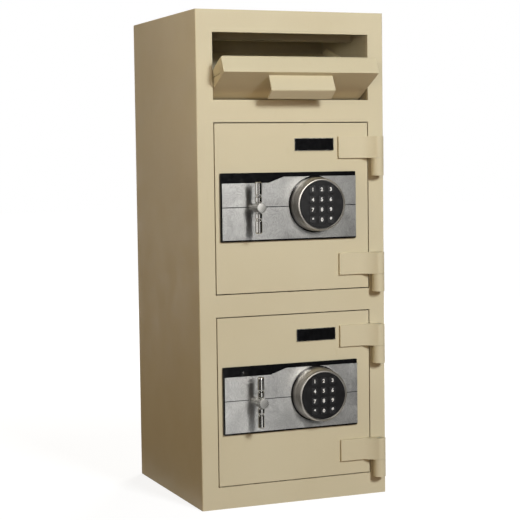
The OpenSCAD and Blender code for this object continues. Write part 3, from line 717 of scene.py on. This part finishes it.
studioLook = {
    "lamps": (
        # name, place, aim, width, height, power, colour, what sees it, and a narrow one's cone in degrees
        ("keyLamp", (0.60, -3.4, 1.95), (0, -0.18, 0.6), 0.7, 0.7, 116, (0.89, 0.94, 1.0), "diffuse"),
        ("metalLamp", (0.40, -4.6, 1.95), (0, -0.18, 0.4), 0.5, 1.5, 150, (1.0, 0.99, 0.96), "glossy"),
        ("ledgeGlow", (0, -0.165, 0.741), (0, -0.165, 1), 0.30, 0.026, 0.0085, (1.0, 0.78, 0.50), "diffuse"),
        ("fillLamp", (-1.5, -3.0, 0.9), (0, -0.18, 0.6), 0.9, 0.9, 13, (1.0, 0.93, 0.84), "diffuse"),
        ("lowSideLamp", (-2.0, -1.2, 0.9), (-0.2, -0.18, 0.75), 0.8, 0.8, 2, (1.0, 0.76, 0.58), "diffuse"),
        ("highSideLamp", (-2.4, -0.2, 1.7), (-0.2, 0, 0.6), 1.0, 1.0, 10.5, (1.0, 0.82, 0.48), "diffuse"),
        ("slotLamp", (-2.0, -1.3, 1.0), (0, -0.2, 0.86), 0.3, 0.3, 0.18, (1.0, 0.95, 0.85), "diffuse", 24),
        ("backLamp", (1.9, 2.5, 1.7), (0.1, 0.1, 0.5), 1.3, 1.3, 80, (1.0, 0.97, 0.92), "diffuse"),
    ),
    "ambient": 0.05, "ambientColour": (1.0, 0.86, 0.68),
    # the floor's colour for the light that it throws back, its grey where it is seen, and its glow at
    # the near and the far end of the reach
    "floorBounce": (0.28, 0.18, 0.11), "floorSeen": 0.25, "floorGlow": (0.86, 1.0), "glowReach": (0.6, 2.6),
    "floorHalf": 14.0,
    "cardColour": (1, 0.94, 0.88, 1),
    "cards": (
        # name, a corner, one side, the other, and how much it glows
        ("frontCard", (-3.03, -1.92, 0), (2.90, 0.24, 0), (0, 0, 2.7), 0.3),
        ("rightCard", (0.42, -2.2, 0), (1.48, 2.8, 0), (0, 0, 2.7), 0.012),
        ("topCard", (-2.4, -3.8, 2.7), (4.8, 0, 0), (0, 6.2, 0), 0.012),
        ("leftFloorCard", (-3.4, -4.0, 0.003), (2.58, 0, 0), (0.72, 3.7, 0), 0.05),
        ("rightFloorCard", (0.50, -2.2, 0.003), (2.6, 0, 0), (-0.55, 1.9, 0), 0.012),
        ("sideFloorCard", (-3.0, -0.3, 0.003), (2.78, 0, 0), (0, 2.2, 0), 0.012),
    ),
}


def addLamp(name, place, aim, width, height, power, colour, seenBy, cone=180):
    data = bpy.data.lights.new(name, "AREA")
    data.shape, data.size, data.size_y = "RECTANGLE", width, height
    data.energy, data.color, data.spread = power, colour, math.radians(cone)
    lamp = bpy.data.objects.new(name, data)
    lamp.location = place
    lamp.rotation_mode = "QUATERNION"
    lamp.rotation_quaternion = (Vector(aim) - Vector(place)).to_track_quat("-Z", "Y")
    lamp.visible_glossy, lamp.visible_diffuse = seenBy == "glossy", seenBy == "diffuse"
    bpy.context.scene.collection.objects.link(lamp)


def clearTree(owner):
    # a world's or a material's nodes, to be laid out by hand
    owner.use_nodes = True
    owner.node_tree.nodes.clear()
    return owner.node_tree


def seenRay(tree):
    # 1 on a ray from the camera, from a reflection or through glass, where the plain background shows
    path = tree.nodes.new("ShaderNodeLightPath")
    total = path.outputs["Is Camera Ray"]
    for kind in ("Is Glossy Ray", "Is Transmission Ray"):
        add = tree.nodes.new("ShaderNodeMath")
        add.operation, add.use_clamp = "ADD", True
        tree.links.new(total, add.inputs[0])
        tree.links.new(path.outputs[kind], add.inputs[1])
        total = add.outputs[0]
    return total


def addCard(name, corner, side, rise, glow, colour):
    # a dark card stands for the dark parts of the room in the metal: no other ray meets it
    c, u, v = (np.array(a, float) for a in (corner, side, rise))
    material = bpy.data.materials.new(name)
    tree = clearTree(material)
    out, dim = tree.nodes.new("ShaderNodeOutputMaterial"), tree.nodes.new("ShaderNodeEmission")
    dim.inputs[0].default_value, dim.inputs[1].default_value = colour, glow
    tree.links.new(dim.outputs[0], out.inputs[0])
    card = meshPiece(name, [c, c + u, c + u + v, c + v], [(0, 1, 2, 3)], material)
    card.visible_camera = card.visible_diffuse = card.visible_transmission = card.visible_shadow = False


def addWorld(look):
    # plain white where it is seen, and a dim warm light for everything else
    world = bpy.data.worlds.new("studio")
    bpy.context.scene.world = world
    tree = clearTree(world)
    out = tree.nodes.new("ShaderNodeOutputWorld")
    mix = tree.nodes.new("ShaderNodeMixShader")
    plain, soft = tree.nodes.new("ShaderNodeBackground"), tree.nodes.new("ShaderNodeBackground")
    plain.inputs[0].default_value, plain.inputs[1].default_value = (1, 1, 1, 1), 1.0
    soft.inputs[0].default_value, soft.inputs[1].default_value = (*look["ambientColour"], 1), look["ambient"]
    tree.links.new(seenRay(tree), mix.inputs[0])
    tree.links.new(soft.outputs[0], mix.inputs[1])
    tree.links.new(plain.outputs[0], mix.inputs[2])
    tree.links.new(mix.outputs[0], out.inputs[0])


def addFloor(look):
    # the floor throws little light back, and shows white with the object's shadow where it is seen
    floorMaterial = bpy.data.materials.new("paleFloor")
    tree = clearTree(floorMaterial)
    out = tree.nodes.new("ShaderNodeOutputMaterial")
    mix, add = tree.nodes.new("ShaderNodeMixShader"), tree.nodes.new("ShaderNodeAddShader")
    dim, lit = tree.nodes.new("ShaderNodeBsdfDiffuse"), tree.nodes.new("ShaderNodeBsdfDiffuse")
    glow = tree.nodes.new("ShaderNodeEmission")
    dim.inputs[0].default_value = (*look["floorBounce"], 1)
    lit.inputs[0].default_value = (*[look["floorSeen"]] * 3, 1)
    # the glow grows with the distance from the object, so that its shadow ends in plain white
    place, away = tree.nodes.new("ShaderNodeTexCoord"), tree.nodes.new("ShaderNodeVectorMath")
    grow = tree.nodes.new("ShaderNodeMapRange")
    away.operation = "LENGTH"
    for socket, value in zip(grow.inputs[1:5], (*look["glowReach"], *look["floorGlow"])):
        socket.default_value = value
    tree.links.new(place.outputs["Object"], away.inputs[0])
    tree.links.new(away.outputs["Value"], grow.inputs[0])
    tree.links.new(grow.outputs[0], glow.inputs[1])
    tree.links.new(seenRay(tree), mix.inputs[0])
    tree.links.new(dim.outputs[0], mix.inputs[1])
    tree.links.new(lit.outputs[0], add.inputs[0])
    tree.links.new(glow.outputs[0], add.inputs[1])
    tree.links.new(add.outputs[0], mix.inputs[2])
    tree.links.new(mix.outputs[0], out.inputs[0])
    far = look["floorHalf"]
    floor = meshPiece("studioFloor", [(-far, -far, 0), (far, -far, 0), (far, far, 0), (-far, far, 0)],
                      [(0, 1, 2, 3)], floorMaterial)


addWorld(studioLook)
addFloor(studioLook)
for lamp in studioLook["lamps"]:
    addLamp(*lamp)
for card in studioLook["cards"]:
    addCard(*card, studioLook["cardColour"])
print("studio set")
